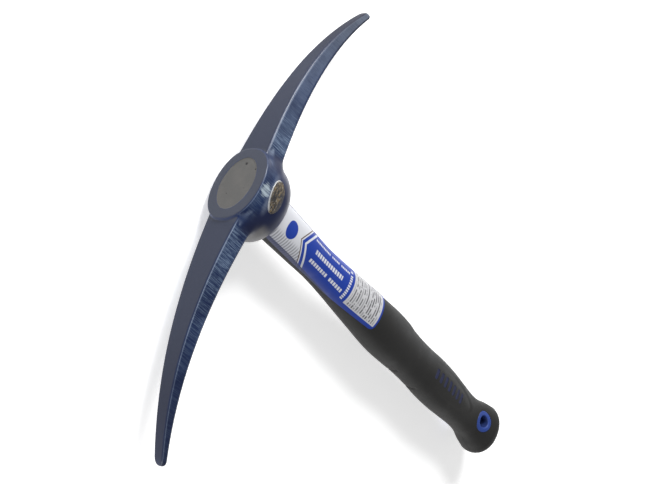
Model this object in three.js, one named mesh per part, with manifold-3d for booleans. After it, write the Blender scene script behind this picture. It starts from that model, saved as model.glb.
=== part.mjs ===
import * as THREE from 'three';
import { mergeVertices } from 'three/addons/utils/BufferGeometryUtils.js';
import Module from 'manifold-3d';

// Short-handled double-point pick: a forged steel head with two drooping points, set with
// resin on an oval fibreglass shaft that is jacketed in plastic and overmoulded in rubber.
//
// Tool frame, millimetres: x runs along the points, y runs down the handle from the top of
// the eye, z is square to both. At the end the tool is laid on its side on the ground.

const wasm = await Module();
wasm.setup();

// ---- driving dimensions ------------------------------------------------------------------

const GAP = 0.3;                     // clearance between pieces that touch
const HEAD_SPAN = 280;               // point to point, before grinding
const LEFT_SHORTER = 1.4;            // ground off the left point's end
const TOOL_LENGTH = 310;             // eye face to butt
const HALF_SPAN = HEAD_SPAN / 2;

const POINT_SET_BACK = 1.3;          // the points' top face sits this far below the eye face
const DROOP_SQUARE = 9.6;            // droop of the points, by the square of the reach
const DROOP_CUBE = 23.5;             // and by its cube
const POINT_BEVEL = 1.0;
const POINT_LEAN = 1.5;               // the left point's upper side leans in by this
const POINT_TIP_ROUND = 3.5;
const FILLET = { x: 17, size: 1.0, reach: 4.5 };   // where the points flare into the boss

const BOSS = { x: 21.4, z: 16.8, depth: 13.4, bevel: 1.0, power: 2.2 };
const CHEEK = { mid: 15, half: 15, end: 29, coreX: 10, coreZ: 7, swellX: 12.6, swellZ: 11.3, power: 2.2 };
const EYE_TOP = { x: 15.6, z: 10.9 };
const EYE_FOOT = { x: 11.4, z: 9.0 };
const CHEEK_FLAT = 18.0;             // the cheeks are ground flat this far from the middle

const SHAFT = { x: 6.8, z: 4.8, top: 2.2, end: 252, power: 2.4 };
const DAM = { top: 24.0, foot: 26.4 };
const SEAL = { x: -0.6, y: 12.7, halfX: 9.4, halfY: 5.0, tilt: 6, thick: 0.3 };
const JACKET_TOP = 26.8;
const RUBBER_WALL = 2.2;             // rubber over the jacket

const GRIP_TOP = 29.4;
const GRIP_FLATNESS = 0.8;           // thickness over width of the handle
const GRIP_POWER = 2.15;
const KNOB = { y: 299, power: 2.3 };
const GRIP_WIDTHS = [                // distance down the handle, half width
  [GRIP_TOP, 12.0], [61, 11.2], [79, 10.7], [98, 11.5], [117, 12.9], [134, 14.1], [150, 15.2],
  [160, 15.45], [174, 14.95], [189, 14.2], [204, 14.2], [221, 15.0], [238, 14.9], [254, 13.9],
  [271, 13.0], [281, 13.8], [290, 15.9], [KNOB.y, 17.4],
];

const HANG = { y: 284.4, halfX: 3.9, halfY: 4.2, rim: 3.2, proud: 0.1 };
const INLAY = { from: 209, to: 252, width: 11, depth: 1.4, bars: 7, barWidth: 2.6, barLength: 6.2 };
const LABEL = { from: 30.6, to: 136.6, thick: 0.35, right: -112.5, across: 24, down: 14 };
const LABEL_LEFT = [                 // place, degrees round
  [30.6, 76], [60, 80], [80, 79.5], [92, 76], [111, 60.5], [122, 53], [136.6, 44],
];

const SIDES = 48;                    // facets round an oval piece
const POINT_STATIONS = 18;           // facets along one point
const GRIP_STEPS = 38;               // facets along the rubber
const JACKET_STEPS = 18;             // facets along the jacket under it
const JACKET_SIDES = 32;

// ---- finishes ----------------------------------------------------------------------------

const paintedSteel = finish(0x28304a, 0.45, 0.55);
const greyResin = finish(0x6c6c6a, 0.75, 0.0);
const fibreglass = finish(0xd8cfa6, 0.5, 0.0);
const damMastic = finish(0x3a3a38, 0.9, 0.0);
const bluePlastic = finish(0x2440a0, 0.45, 0.0);
const gripRubber = finish(0x3c3c3c, 0.8, 0.0);
const printedFilm = finish(0x3048b0, 0.35, 0.0);
const foil = finish(0x7a6a48, 0.45, 0.6);

function finish(color, roughness, metalness) {
  return new THREE.MeshStandardMaterial({ color, roughness, metalness });
}

// ---- helpers -----------------------------------------------------------------------------

// Smooth curve through [place, value] stations.
function along(stations, place) {
  const last = stations.length - 1;
  const at = Math.min(Math.max(place, stations[0][0]), stations[last][0]);
  let k = 0;
  while (k < last - 1 && at > stations[k + 1][0]) k += 1;
  const slope = (i) => {
    const a = stations[Math.max(i - 1, 0)];
    const b = stations[Math.min(i + 1, last)];
    return (b[1] - a[1]) / (b[0] - a[0]);
  };
  const [y0, v0] = stations[k];
  const [y1, v1] = stations[k + 1];
  const step = y1 - y0;
  const t = (at - y0) / step;
  const u = 1 - t;
  return v0 * u * u * (1 + 2 * t) + v1 * t * t * (3 - 2 * t)
    + step * t * u * (slope(k) * u - slope(k + 1) * t);
}

// One point of an oval of the given half sizes; power 2 is an ellipse, more is squarer.
function ovalPoint(angle, halfX, halfZ, power) {
  const s = Math.sin(angle);
  const c = Math.cos(angle);
  return [
    halfX * Math.sign(s) * Math.abs(s) ** (2 / power),
    halfZ * Math.sign(c) * Math.abs(c) ** (2 / power),
  ];
}

// Ring of points round the y axis at height y.
function ovalRing(y, halfX, halfZ, power = 2, sides = SIDES) {
  const ring = [];
  for (let i = 0; i < sides; i += 1) {
    const [x, z] = ovalPoint((i / sides) * Math.PI * 2, halfX, halfZ, power);
    ring.push([x, y, z]);
  }
  return ring;
}

// Side faces between a row of rings of equal count.
function sideFaces(rings) {
  const count = rings[0].length;
  const faces = [];
  for (let i = 0; i < count; i += 1) {
    const j = (i + 1) % count;
    for (let r = 0; r < rings.length - 1; r += 1) {
      const a = r * count;
      const b = a + count;
      faces.push(a + i, b + i, a + j);
      faces.push(a + j, b + i, b + j);
    }
  }
  return faces;
}

// Closed skin over a row of rings of equal count, with a flat fan at each end.
function loft(rings) {
  const count = rings[0].length;
  const points = rings.flat(2);
  const faces = sideFaces(rings);
  const centre = (ring) => [0, 1, 2].map((k) => ring.reduce((sum, p) => sum + p[k], 0) / count);
  points.push(...centre(rings[0]));
  points.push(...centre(rings[rings.length - 1]));
  const firstHub = rings.length * count;
  const lastHub = firstHub + 1;
  const lastRow = (rings.length - 1) * count;
  for (let i = 0; i < count; i += 1) {
    const j = (i + 1) % count;
    faces.push(firstHub, i, j);
    faces.push(lastHub, lastRow + j, lastRow + i);
  }
  return closedGeometry(points, faces);
}

// Closed skin of a thin sheet. Each ring is the sheet's outer row and then its inner row
// backwards, so the ends are closed by a strip from one row to the other.
function loftSheet(rings) {
  const count = rings[0].length;
  const faces = sideFaces(rings);
  const lastRow = (rings.length - 1) * count;
  for (let i = 0; i < count / 2 - 1; i += 1) {
    const far = count - 1 - i;
    faces.push(i, i + 1, far);
    faces.push(i + 1, far - 1, far);
    faces.push(lastRow + i + 1, lastRow + i, lastRow + far);
    faces.push(lastRow + far - 1, lastRow + i + 1, lastRow + far);
  }
  return closedGeometry(rings.flat(2), faces);
}

// Geometry of a closed skin, turned to face outwards.
function closedGeometry(points, faces) {
  if (enclosedVolume(points, faces) < 0) faces.reverse();
  const geometry = new THREE.BufferGeometry();
  geometry.setAttribute('position', new THREE.Float32BufferAttribute(points, 3));
  geometry.setIndex(faces);
  return geometry;
}

// Volume inside a closed skin; negative when its faces point inwards.
function enclosedVolume(points, faces) {
  const corner = (k) => new THREE.Vector3().fromArray(points, faces[k] * 3);
  let volume = 0;
  for (let k = 0; k < faces.length; k += 3) {
    volume += corner(k).dot(corner(k + 1).cross(corner(k + 2))) / 6;
  }
  return volume;
}

function toSolid(geometry) {
  const bare = geometry.clone();
  bare.deleteAttribute('normal');
  bare.deleteAttribute('uv');
  const merged = mergeVertices(bare, 1e-4);
  const vertProperties = new Float32Array(merged.attributes.position.array);
  const triVerts = new Uint32Array(merged.index.array);
  return new wasm.Manifold(new wasm.Mesh({ numProp: 3, vertProperties, triVerts }));
}

function toGeometry(solid) {
  const { vertProperties, triVerts } = solid.getMesh();
  const geometry = new THREE.BufferGeometry();
  geometry.setAttribute('position', new THREE.BufferAttribute(new Float32Array(vertProperties), 3));
  geometry.setIndex(new THREE.BufferAttribute(new Uint32Array(triVerts), 1));
  return geometry;
}

function piece(name, geometry, material) {
  geometry.computeVertexNormals();
  const mesh = new THREE.Mesh(geometry, material);
  mesh.name = name;
  return mesh;
}

// ---- pick head ---------------------------------------------------------------------------

// Section of a point at x: droop of the top face, half width and depth.
function pointSection(x) {
  const s = Math.abs(x) / HALF_SPAN;
  const flare = FILLET.size * Math.exp(-(((Math.abs(x) - FILLET.x) / FILLET.reach) ** 2));
  return {
    top: Math.hypot(POINT_SET_BACK, DROOP_SQUARE * s ** 2 + DROOP_CUBE * s ** 3),
    half: 12.3 - 13.0 * s + 3.6 * s ** 2 + flare,
    depth: 12.6 - 3.4 * s - 5.6 * s ** 2,
    lean: x < 0 ? POINT_LEAN * (1 - s / 2) * Math.min(Math.abs(x) / FILLET.x, 1) : 0,
  };
}

// Bevelled rectangle with a lightly crowned underside; shrink draws it toward its top face.
function pointRing(x, shrink) {
  const { top, half, depth, lean } = pointSection(x);
  const upper = half - lean;
  const bevel = Math.min(POINT_BEVEL, 0.4 * upper);
  const crown = Math.min(2.2, 0.5 * half);
  const belly = depth + 0.5 * crown;
  const outline = [
    [0, upper - bevel], [bevel, upper], [depth, half], [belly, half - crown],
    [belly, crown - half], [depth, -half], [bevel, -half], [0, bevel - half],
  ];
  const sink = 0.25 * depth;
  return outline.map(([y, z]) => [x, top + sink + (y - sink) * shrink, z * shrink]);
}

function bothPoints() {
  const start = 12;
  const end = HALF_SPAN - POINT_TIP_ROUND;
  const right = [];
  for (let i = 0; i <= POINT_STATIONS; i += 1) {
    right.push([start + (end - start) * (i / POINT_STATIONS) ** 1.35, 1]);
  }
  right.push([end + 0.45 * POINT_TIP_ROUND, 0.92]);
  right.push([end + 0.8 * POINT_TIP_ROUND, 0.72]);
  right.push([HALF_SPAN, 0.4]);
  const leftReach = (HALF_SPAN - LEFT_SHORTER) / HALF_SPAN;
  const left = right.map(([x, shrink]) => [-x * leftReach, shrink]).reverse();
  return loft([...left, ...right].map(([x, shrink]) => pointRing(x, shrink)));
}

// Oval drum round the eye, with a bevelled top rim.
function boss() {
  const { x, z, depth, bevel, power } = BOSS;
  return loft([
    ovalRing(0, x - bevel, z - bevel, power),
    ovalRing(0.3 * bevel, x - 0.3 * bevel, z - 0.3 * bevel, power),
    ovalRing(bevel, x, z, power),
    ovalRing(depth - 2, x, z, power),
    ovalRing(depth, x - 2, z - 2, power),
  ]);
}

// Half sizes of the rounded socket at distance y below the eye face.
function cheekAt(y) {
  const fall = Math.abs((y - CHEEK.mid) / CHEEK.half) ** CHEEK.power;
  const fullness = (1 - fall) ** (1 / CHEEK.power);
  return [CHEEK.coreX + CHEEK.swellX * fullness, CHEEK.coreZ + CHEEK.swellZ * fullness];
}

// Rounded socket below the drum that closes in on the handle.
function cheek() {
  const rings = [];
  const steps = 10;
  for (let i = 0; i <= steps; i += 1) {
    const y = 3 + (i / steps) * (CHEEK.end - 3);
    const [halfX, halfZ] = cheekAt(y);
    rings.push(ovalRing(y, halfX, halfZ));
  }
  return loft(rings);
}

// Half sizes of the tapered eye at distance y below its top.
function eyeAt(y) {
  const t = y / CHEEK.end;
  return [
    EYE_TOP.x + (EYE_FOOT.x - EYE_TOP.x) * t,
    EYE_TOP.z + (EYE_FOOT.z - EYE_TOP.z) * t,
  ];
}

function eyePlug(from, to, clearance) {
  const ring = (y) => {
    const [halfX, halfZ] = eyeAt(y);
    return ovalRing(y, halfX - clearance, halfZ - clearance);
  };
  return loft([ring(from), ring(to)]);
}

function pickHead() {
  const head = toSolid(bothPoints())
    .add(toSolid(boss()))
    .add(toSolid(cheek()))
    .subtract(toSolid(eyePlug(-1, CHEEK.end + 1, 0)))
    .intersect(toSolid(new THREE.BoxGeometry(2 * HEAD_SPAN, HEAD_SPAN, 2 * CHEEK_FLAT)));
  return piece('pick_head', toGeometry(head), paintedSteel);
}

// Thin oval foil stuck on the upper cheek, following its curve.
function cheekSeal() {
  const { x: midX, y: midY, halfX, halfY, tilt, thick } = SEAL;
  const turn = THREE.MathUtils.degToRad(tilt);
  const across = 6;
  const steps = 16;
  const row = (reach, lift) => {
    const height = halfY * Math.sqrt(1 - reach ** 2);
    const points = [];
    for (let i = 0; i <= across; i += 1) {
      const u = reach * halfX;
      const v = ((2 * i) / across - 1) * height;
      const x = midX + u * Math.cos(turn) - v * Math.sin(turn);
      const y = midY + u * Math.sin(turn) + v * Math.cos(turn);
      const [wide, deep] = cheekAt(y);
      const socket = deep * Math.sqrt(1 - (x / wide) ** 2);
      points.push([x, y, Math.min(Math.max(socket, drumWall(x)), CHEEK_FLAT) + lift]);
    }
    return points;
  };
  const rings = [];
  for (let k = 0; k <= steps; k += 1) {
    const reach = Math.sin(((k / steps) * 2 - 1) * 1.45);
    rings.push([...row(reach, GAP + thick), ...row(reach, GAP).reverse()]);
  }
  return piece('cheek_seal', loftSheet(rings), foil);
}

// How far the drum's wall stands out beside x.
function drumWall(x) {
  return BOSS.z * (1 - (Math.abs(x) / BOSS.x) ** BOSS.power) ** (1 / BOSS.power);
}

// ---- shaft and its setting ---------------------------------------------------------------

function shaftPlug(from, to, clearance) {
  const ring = (y) => ovalRing(y, SHAFT.x + clearance, SHAFT.z + clearance, SHAFT.power);
  return loft([ring(from), ring(to)]);
}

function handleCore() {
  return piece('handle_core', shaftPlug(SHAFT.top, SHAFT.end, 0), fibreglass);
}

function eyeResin() {
  const resin = toSolid(eyePlug(0, DAM.top - GAP, GAP))
    .subtract(toSolid(shaftPlug(SHAFT.top - GAP, DAM.top, GAP)));
  return piece('eye_resin', toGeometry(resin), greyResin);
}

function resinDam() {
  const dam = toSolid(eyePlug(DAM.top, DAM.foot, GAP))
    .subtract(toSolid(shaftPlug(DAM.top - 1, DAM.foot + 1, GAP)));
  return piece('resin_dam', toGeometry(dam), damMastic);
}

// ---- handle ------------------------------------------------------------------------------

// Half width of the handle, less a wall, at distance y down it.
function gripHalfWidth(y, wall = 0) {
  if (y <= KNOB.y) return along(GRIP_WIDTHS, y) - wall;
  const reach = (y - KNOB.y) / (TOOL_LENGTH - wall - KNOB.y);
  const full = along(GRIP_WIDTHS, KNOB.y) - wall;
  return full * Math.max(1 - reach ** KNOB.power, 0) ** (1 / KNOB.power);
}

function handleBody(top, wall, steps, sides = SIDES) {
  const rings = [];
  const end = TOOL_LENGTH - wall;
  const ring = (y) => {
    const halfX = Math.max(gripHalfWidth(y, wall), 0.4);
    const halfZ = halfX * GRIP_FLATNESS - 0.2 * wall;
    return ovalRing(y, halfX, Math.max(halfZ, 0.3), GRIP_POWER, sides);
  };
  for (let i = 0; i <= steps; i += 1) {
    rings.push(ring(top + (i / steps) * (KNOB.y - top)));
  }
  [0.3, 0.55, 0.75, 0.89, 0.97, 1].forEach((reach) => {
    rings.push(ring(KNOB.y + reach * (end - KNOB.y)));
  });
  return loft(rings);
}

// Oval column through the butt, for the hanging hole and the collar round it.
function hangColumn(grow, halfHeight) {
  const sides = 28;
  const ring = (z) => {
    const outline = [];
    for (let i = 0; i < sides; i += 1) {
      const a = (i / sides) * Math.PI * 2;
      const x = (HANG.halfX + grow) * Math.sin(a);
      const y = HANG.y + (HANG.halfY + grow) * Math.cos(a);
      outline.push([x, y, z]);
    }
    return outline;
  };
  return loft([ring(halfHeight), ring(-halfHeight)]);
}

function innerJacket() {
  const collarReach = gripHalfWidth(HANG.y) * GRIP_FLATNESS + HANG.proud;
  const jacket = toSolid(handleBody(JACKET_TOP, RUBBER_WALL, JACKET_STEPS, JACKET_SIDES))
    .add(toSolid(hangColumn(HANG.rim, collarReach)))
    .subtract(toSolid(shaftPlug(JACKET_TOP - 1, SHAFT.end + GAP, GAP)))
    .subtract(toSolid(hangColumn(0, 30)));
  return piece('inner_jacket', toGeometry(jacket), bluePlastic);
}

// Plate that follows the top of the handle, for the inlay and the pocket it sits in.
function inlaySlab(grow, sink, rise) {
  const steps = 12;
  const rings = [];
  for (let i = 0; i <= steps; i += 1) {
    const t = i / steps;
    const y = INLAY.from - grow + t * (INLAY.to - INLAY.from + 2 * grow);
    const bulge = Math.sqrt(Math.max(1 - (2 * t - 1) ** 2, 0));
    const half = (INLAY.width / 2) * (0.25 + 0.75 * bulge) + grow;
    const surface = gripHalfWidth(y) * GRIP_FLATNESS;
    rings.push([
      [half, y, surface + rise], [half, y, surface - sink],
      [-half, y, surface - sink], [-half, y, surface + rise],
    ]);
  }
  return loft(rings);
}

function gripInlay() {
  const bars = [];
  const pitch = (INLAY.to - INLAY.from - 8) / INLAY.bars;
  let inlay = toSolid(inlaySlab(0, INLAY.depth, -0.9));
  for (let i = 0; i < INLAY.bars; i += 1) {
    const y = INLAY.from + 4 + (i + 0.5) * pitch;
    const surface = gripHalfWidth(y) * GRIP_FLATNESS;
    const bar = new THREE.BoxGeometry(INLAY.barLength, INLAY.barWidth, 0.8);
    bar.translate(0, y, surface - 0.85);
    bars.push(bar);
  }
  bars.forEach((bar) => { inlay = inlay.add(toSolid(bar)); });
  return piece('grip_inlay', toGeometry(inlay), bluePlastic);
}

function rubberGrip() {
  const grip = toSolid(handleBody(GRIP_TOP, 0, GRIP_STEPS))
    .subtract(toSolid(handleBody(JACKET_TOP, RUBBER_WALL - GAP, JACKET_STEPS, JACKET_SIDES)))
    .subtract(toSolid(hangColumn(HANG.rim + GAP, 30)))
    .subtract(toSolid(inlaySlab(GAP, INLAY.depth + GAP, 3)));
  return piece('rubber_grip', toGeometry(grip), gripRubber);
}

// Printed film wrapped part of the way round the neck of the handle.
function productLabel() {
  const edge = (y, lift) => {
    const half = gripHalfWidth(y);
    const turn = (along(LABEL_LEFT, y) - LABEL.right) / LABEL.across;
    const row = [];
    for (let i = 0; i <= LABEL.across; i += 1) {
      const a = THREE.MathUtils.degToRad(LABEL.right + i * turn);
      const [x, z] = ovalPoint(a, half + lift, half * GRIP_FLATNESS + lift, GRIP_POWER);
      row.push([x, y, z]);
    }
    return row;
  };
  const rings = [];
  for (let k = 0; k <= LABEL.down; k += 1) {
    const y = LABEL.from + (k / LABEL.down) * (LABEL.to - LABEL.from);
    rings.push([...edge(y, GAP + LABEL.thick), ...edge(y, GAP).reverse()]);
  }
  return piece('product_label', loftSheet(rings), printedFilm);
}

// ---- assembly ----------------------------------------------------------------------------

const tool = new THREE.Group();
tool.position.set(-LEFT_SHORTER / 2, -TOOL_LENGTH / 2, CHEEK_FLAT);
tool.add(
  pickHead(),
  cheekSeal(),
  eyeResin(),
  resinDam(),
  handleCore(),
  innerJacket(),
  rubberGrip(),
  gripInlay(),
  productLabel(),
);

const group = new THREE.Group();
group.add(tool);

export default group;
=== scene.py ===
import math

import bmesh
import bpy
import numpy as np
from mathutils import Matrix, Vector


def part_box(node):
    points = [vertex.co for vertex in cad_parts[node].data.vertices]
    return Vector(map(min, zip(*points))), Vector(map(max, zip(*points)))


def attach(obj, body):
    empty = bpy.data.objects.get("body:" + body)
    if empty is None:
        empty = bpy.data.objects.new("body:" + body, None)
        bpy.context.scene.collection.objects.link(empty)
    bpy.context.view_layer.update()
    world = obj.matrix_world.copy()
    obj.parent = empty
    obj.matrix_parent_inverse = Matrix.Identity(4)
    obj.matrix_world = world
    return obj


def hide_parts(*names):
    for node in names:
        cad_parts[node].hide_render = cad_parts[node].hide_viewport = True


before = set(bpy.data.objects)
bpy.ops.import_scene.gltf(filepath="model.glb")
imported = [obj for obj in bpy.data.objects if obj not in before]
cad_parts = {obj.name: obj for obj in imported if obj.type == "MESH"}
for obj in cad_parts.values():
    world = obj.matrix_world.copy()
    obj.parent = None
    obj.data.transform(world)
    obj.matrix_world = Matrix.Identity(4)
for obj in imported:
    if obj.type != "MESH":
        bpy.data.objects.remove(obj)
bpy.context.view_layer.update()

# ---- Forged head --------------------------------------------------------------------------
# One drop forging: an oval drum round the eye, swelling cheeks below it and two drooping
# points with flat ground sides. The eye is cut right through with a taper, and the whole
# forging is dipped in dark blue enamel, so thin that the grinding shows through it.

MM = 0.001
head_low, head_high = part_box("pick_head")
grip_low, grip_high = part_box("rubber_grip")
tool_axis = np.array([(grip_low.x + grip_high.x) / 2, head_low.y, (grip_low.z + grip_high.z) / 2])

RIGHT_REACH = (head_high.x - tool_axis[0]) / MM
LEFT_REACH = (tool_axis[0] - head_low.x) / MM
POINT_SET_BACK = 1.3
POINT_EDGE = 1.15
POINT_LEAN = 1.5
TIP_ROUND = 3.6
DRUM = (21.4, 16.8)
DRUM_DEPTH = 13.2
DRUM_POWER = 2.2
DRUM_EDGE = 0.8
CHEEK_CORE = (10.0, 7.0)
CHEEK_SWELL = (12.6, 11.3)
CHEEK_MIDDLE = 15.0
CHEEK_END = 29.0
CHEEK_POWER = 2.2
SOCKET_MIDDLE, SOCKET_HALF = 16.0, 13.0
CHEEK_FLAT = 18.0
EYE_TOP = (15.6, 10.9)
EYE_FOOT = (11.4, 9.0)
FAR_SIDE_TRIM = 0.055


def ramp(value, start, end):
    """0 before start, 1 after end, smooth between."""
    t = np.clip((value - start) / (end - start), 0, 1)
    return t * t * (3 - 2 * t)


def cut_round(a, b, radius):
    """The field of the space inside both a and b, with the edge between them rounded."""
    corner = np.hypot(np.maximum(a + radius, 0), np.maximum(b + radius, 0))
    return np.minimum(np.maximum(a, b), -radius) + corner


def join_soft(a, b, radius):
    """The field of the space inside a or b, with a fillet between them."""
    near = np.maximum(radius - np.abs(a - b), 0) / radius
    return np.minimum(a, b) - near * near * radius / 4


def oval_field(x, z, half_x, half_z, power):
    """Distance out from an oval's edge, along the line from its middle."""
    reach = np.maximum(np.hypot(x, z), 1e-6)
    share = (np.abs(x / half_x) ** power + np.abs(z / half_z) ** power) ** (1 / power)
    return reach * (1 - 1 / np.maximum(share, 1e-6))


def point_profile(x):
    """Droop of a point's top face, its half width and its depth, at x along the head."""
    s = np.abs(x) / RIGHT_REACH
    droop = np.hypot(POINT_SET_BACK, 9.6 * s**2 + 23.5 * s**3)
    return droop, 12.3 - 13.0 * s + 3.6 * s**2, 12.6 - 3.4 * s - 5.6 * s**2


def head_field(x, y, z):
    """Below zero inside the steel."""
    top, half, depth = point_profile(x)
    trim = FAR_SIDE_TRIM * (1 - ramp(np.abs(x), 40, 110)) * (1 - ramp(y, 7, 13))
    z = np.where(z < 0, z * (1 + trim), z)
    lean = np.where((x < 0) & (z > 0), POINT_LEAN, 0) * np.minimum(np.abs(x) / 17, 1)
    wall = half - lean * (1 - np.clip((y - top) / depth, 0, 1))
    points = cut_round(top - y, np.abs(z) - wall, POINT_EDGE)
    points = cut_round(points, y - top - depth - 1.0, 2.0)
    drum = oval_field(x, z, *DRUM, DRUM_POWER)
    drum = cut_round(cut_round(-y, drum, DRUM_EDGE), y - DRUM_DEPTH, 2.5)
    fall = np.clip(np.abs((y - CHEEK_MIDDLE) / CHEEK_MIDDLE) ** CHEEK_POWER, 0, 1)
    full = (1 - fall) ** (1 / CHEEK_POWER)
    cheek_x = CHEEK_CORE[0] + CHEEK_SWELL[0] * full
    cheek_z = CHEEK_CORE[1] + CHEEK_SWELL[1] * full
    cheek = cut_round(oval_field(x, z, cheek_x, cheek_z, 2), np.abs(y - SOCKET_MIDDLE) - SOCKET_HALF, 0.8)
    fillet = 1.0 + 5.0 * ramp(y, 1.6, 5.5)
    steel = join_soft(join_soft(points, drum, fillet), cheek, 0.5 + 2.7 * ramp(np.abs(x), 12, 20))
    return cut_round(steel, np.abs(z) - CHEEK_FLAT + 0.05, 0.5)


def section_template(x):
    """Outline that a ray from the section's middle passes through, from the top round to the foot."""
    top, half, depth = (float(v) for v in point_profile(np.array(x)))
    boss = float(1 - ramp(abs(x), 17, 27))
    rim = DRUM[1] * max(1 - (abs(x) / DRUM[0]) ** DRUM_POWER, 0) ** (1 / DRUM_POWER)
    edge = half if x >= 0 else half - POINT_LEAN * min(abs(x) / 17, 1)
    wide, top = (rim, 0.0) if rim > half else (edge, top)
    foot_y = top + depth + 1 + boss * 13
    foot = min(1.8, 0.5 * half)
    across = np.linspace(0, 1, 12) ** 0.8 * (wide - 1.0)
    rows = [(top, z) for z in across]
    rows += [(top + a, wide - b) for a, b in ((0.08, 0.6), (0.28, 0.28), (0.6, 0.08))]
    rows += [(y, wide) for y in np.linspace(top + 1.1, foot_y - foot, 20)]
    rows += [(foot_y - foot * a, wide - foot * b) for a, b in ((0.6, 0.1), (0.28, 0.28), (0.1, 0.6))]
    rows += [(foot_y, z) for z in np.linspace(wide - foot, 0, 10)]
    return np.array(rows), (top + foot_y) * 0.5


def tool_stations():
    """Places along the head where a section is taken, closest together round the drum."""
    side = [0.0]
    while side[-1] < 33:
        side.append(side[-1] + (1.0 if side[-1] < 9 else 0.4))
    side += list(np.linspace(side[-1], RIGHT_REACH - TIP_ROUND, 56)[1:])
    swing = np.radians(np.linspace(0, 78, 8)[1:])
    side += [RIGHT_REACH - TIP_ROUND + TIP_ROUND * math.sin(a) for a in swing]
    share = LEFT_REACH / RIGHT_REACH
    return [-x * share for x in reversed(side[1:])] + side


def head_sections():
    """Rings of points round the steel, one for each station."""
    rings = []
    for x in tool_stations():
        reach = RIGHT_REACH if x >= 0 else LEFT_REACH
        beyond = max(abs(x) - (reach - TIP_ROUND), 0) / TIP_ROUND
        shrink = (1 - beyond**2.3) ** (1 / 2.3)
        half_ring, middle = section_template(x)
        back = half_ring[-2:0:-1] * (1, -1)
        ray = np.vstack([half_ring, back]) - (middle, 0)
        ray /= np.linalg.norm(ray, axis=1)[:, None]
        inner, outer = np.zeros(len(ray)), np.full(len(ray), 40.0)
        for _ in range(36):
            trial = (inner + outer) / 2
            at_y, at_z = middle + trial * ray[:, 0], trial * ray[:, 1]
            solid = head_field(np.full(len(ray), x), at_y, at_z) < 0
            inner, outer = np.where(solid, trial, inner), np.where(solid, outer, trial)
        y, z = middle + inner * ray[:, 0], inner * ray[:, 1]
        rest = point_profile(np.array(x))[0] + 0.3 * point_profile(np.array(x))[2]
        y, z = rest + (y - rest) * shrink, z * shrink
        rings.append(np.column_stack([np.full(len(y), x), y, z]))
    return rings


def placed(points):
    """Millimetres along the tool become metres where the tool lies."""
    return np.asarray(points, float) * MM + tool_axis


def new_piece(name, points, faces):
    """A mesh object with its faces turned outwards."""
    mesh = bpy.data.meshes.new(name)
    mesh.from_pydata([tuple(p) for p in placed(points)], [], faces)
    shell = bmesh.new()
    shell.from_mesh(mesh)
    bmesh.ops.remove_doubles(shell, verts=shell.verts, dist=1e-7)
    bmesh.ops.recalc_face_normals(shell, faces=shell.faces)
    if shell.calc_volume(signed=True) < 0:
        bmesh.ops.reverse_faces(shell, faces=shell.faces)
    shell.to_mesh(mesh)
    shell.free()
    made = bpy.data.objects.new(name, mesh)
    bpy.context.scene.collection.objects.link(made)
    return made


def skin(rings, closed=False):
    """Points and faces of a surface over rings of equal count; closed joins the last to the first."""
    count = len(rings[0])
    points = np.vstack(rings)
    faces = []
    for r in range(len(rings) - (0 if closed else 1)):
        a, b = r * count, ((r + 1) % len(rings)) * count
        faces += [(a + i, a + (i + 1) % count, b + (i + 1) % count, b + i) for i in range(count)]
    if not closed:
        points = np.vstack([points, rings[0].mean(axis=0), rings[-1].mean(axis=0)])
        hub, last = len(points) - 2, (len(rings) - 1) * count
        faces += [(hub, (i + 1) % count, i) for i in range(count)]
        faces += [(hub + 1, last + i, last + (i + 1) % count) for i in range(count)]
    return points, faces


def oval_ring(y, half_x, half_z, power=2.0, count=96):
    """Ring round the handle's axis at y."""
    turn = np.linspace(0, 2 * math.pi, count, endpoint=False)
    s, c = np.sin(turn), np.cos(turn)
    x = half_x * np.sign(s) * np.abs(s) ** (2 / power)
    z = half_z * np.sign(c) * np.abs(c) ** (2 / power)
    return np.column_stack([x, np.full(count, float(y)), z])


def eye_ring(y, clearance, count=96):
    """The tapered eye, drawn in by a clearance."""
    t = y / CHEEK_END
    half = [EYE_TOP[k] + (EYE_FOOT[k] - EYE_TOP[k]) * t - clearance for k in (0, 1)]
    return oval_ring(y, *half, count=count)


def carve(piece, tool, operation="DIFFERENCE"):
    """Cuts or joins another object into a piece, and removes that object."""
    cutter = piece.modifiers.new("cut", "BOOLEAN")
    cutter.operation, cutter.solver, cutter.object = operation, "EXACT", tool
    apply_modifiers(piece)
    bpy.data.objects.remove(tool)


def apply_modifiers(piece):
    """Keeps the mesh that the modifiers give, and drops them."""
    ready = piece.evaluated_get(bpy.context.evaluated_depsgraph_get())
    mesh = bpy.data.meshes.new_from_object(ready)
    piece.modifiers.clear()
    piece.data = mesh


def drop_slivers(piece):
    """Splits the many-sided faces that a cut leaves, and removes doubled triangles among them."""
    shell = bmesh.new()
    shell.from_mesh(piece.data)
    many_sided = [face for face in shell.faces if len(face.verts) > 4]
    bmesh.ops.triangulate(shell, faces=many_sided, ngon_method="EAR_CLIP")
    on_corners = {}
    for face in shell.faces:
        on_corners.setdefault(frozenset(vert.index for vert in face.verts), []).append(face)
    doubled = [face for faces in on_corners.values() if len(faces) > 1 for face in faces]
    bmesh.ops.delete(shell, geom=doubled, context="FACES")
    shell.to_mesh(piece.data)
    shell.free()


def smooth(piece, degrees):
    """Shades the piece smooth, with sharp edges where faces meet at more than this."""
    piece.data.shade_smooth()
    piece.data.set_sharp_from_angle(angle=math.radians(degrees))


def tool_points(piece):
    """The piece's points in millimetres along the tool, and their normals."""
    count = len(piece.data.vertices)
    place, normal = np.zeros(count * 3), np.zeros(count * 3)
    piece.data.vertices.foreach_get("co", place)
    piece.data.vertices.foreach_get("normal", normal)
    return (place.reshape(-1, 3) - tool_axis) / MM, normal.reshape(-1, 3)


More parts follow.
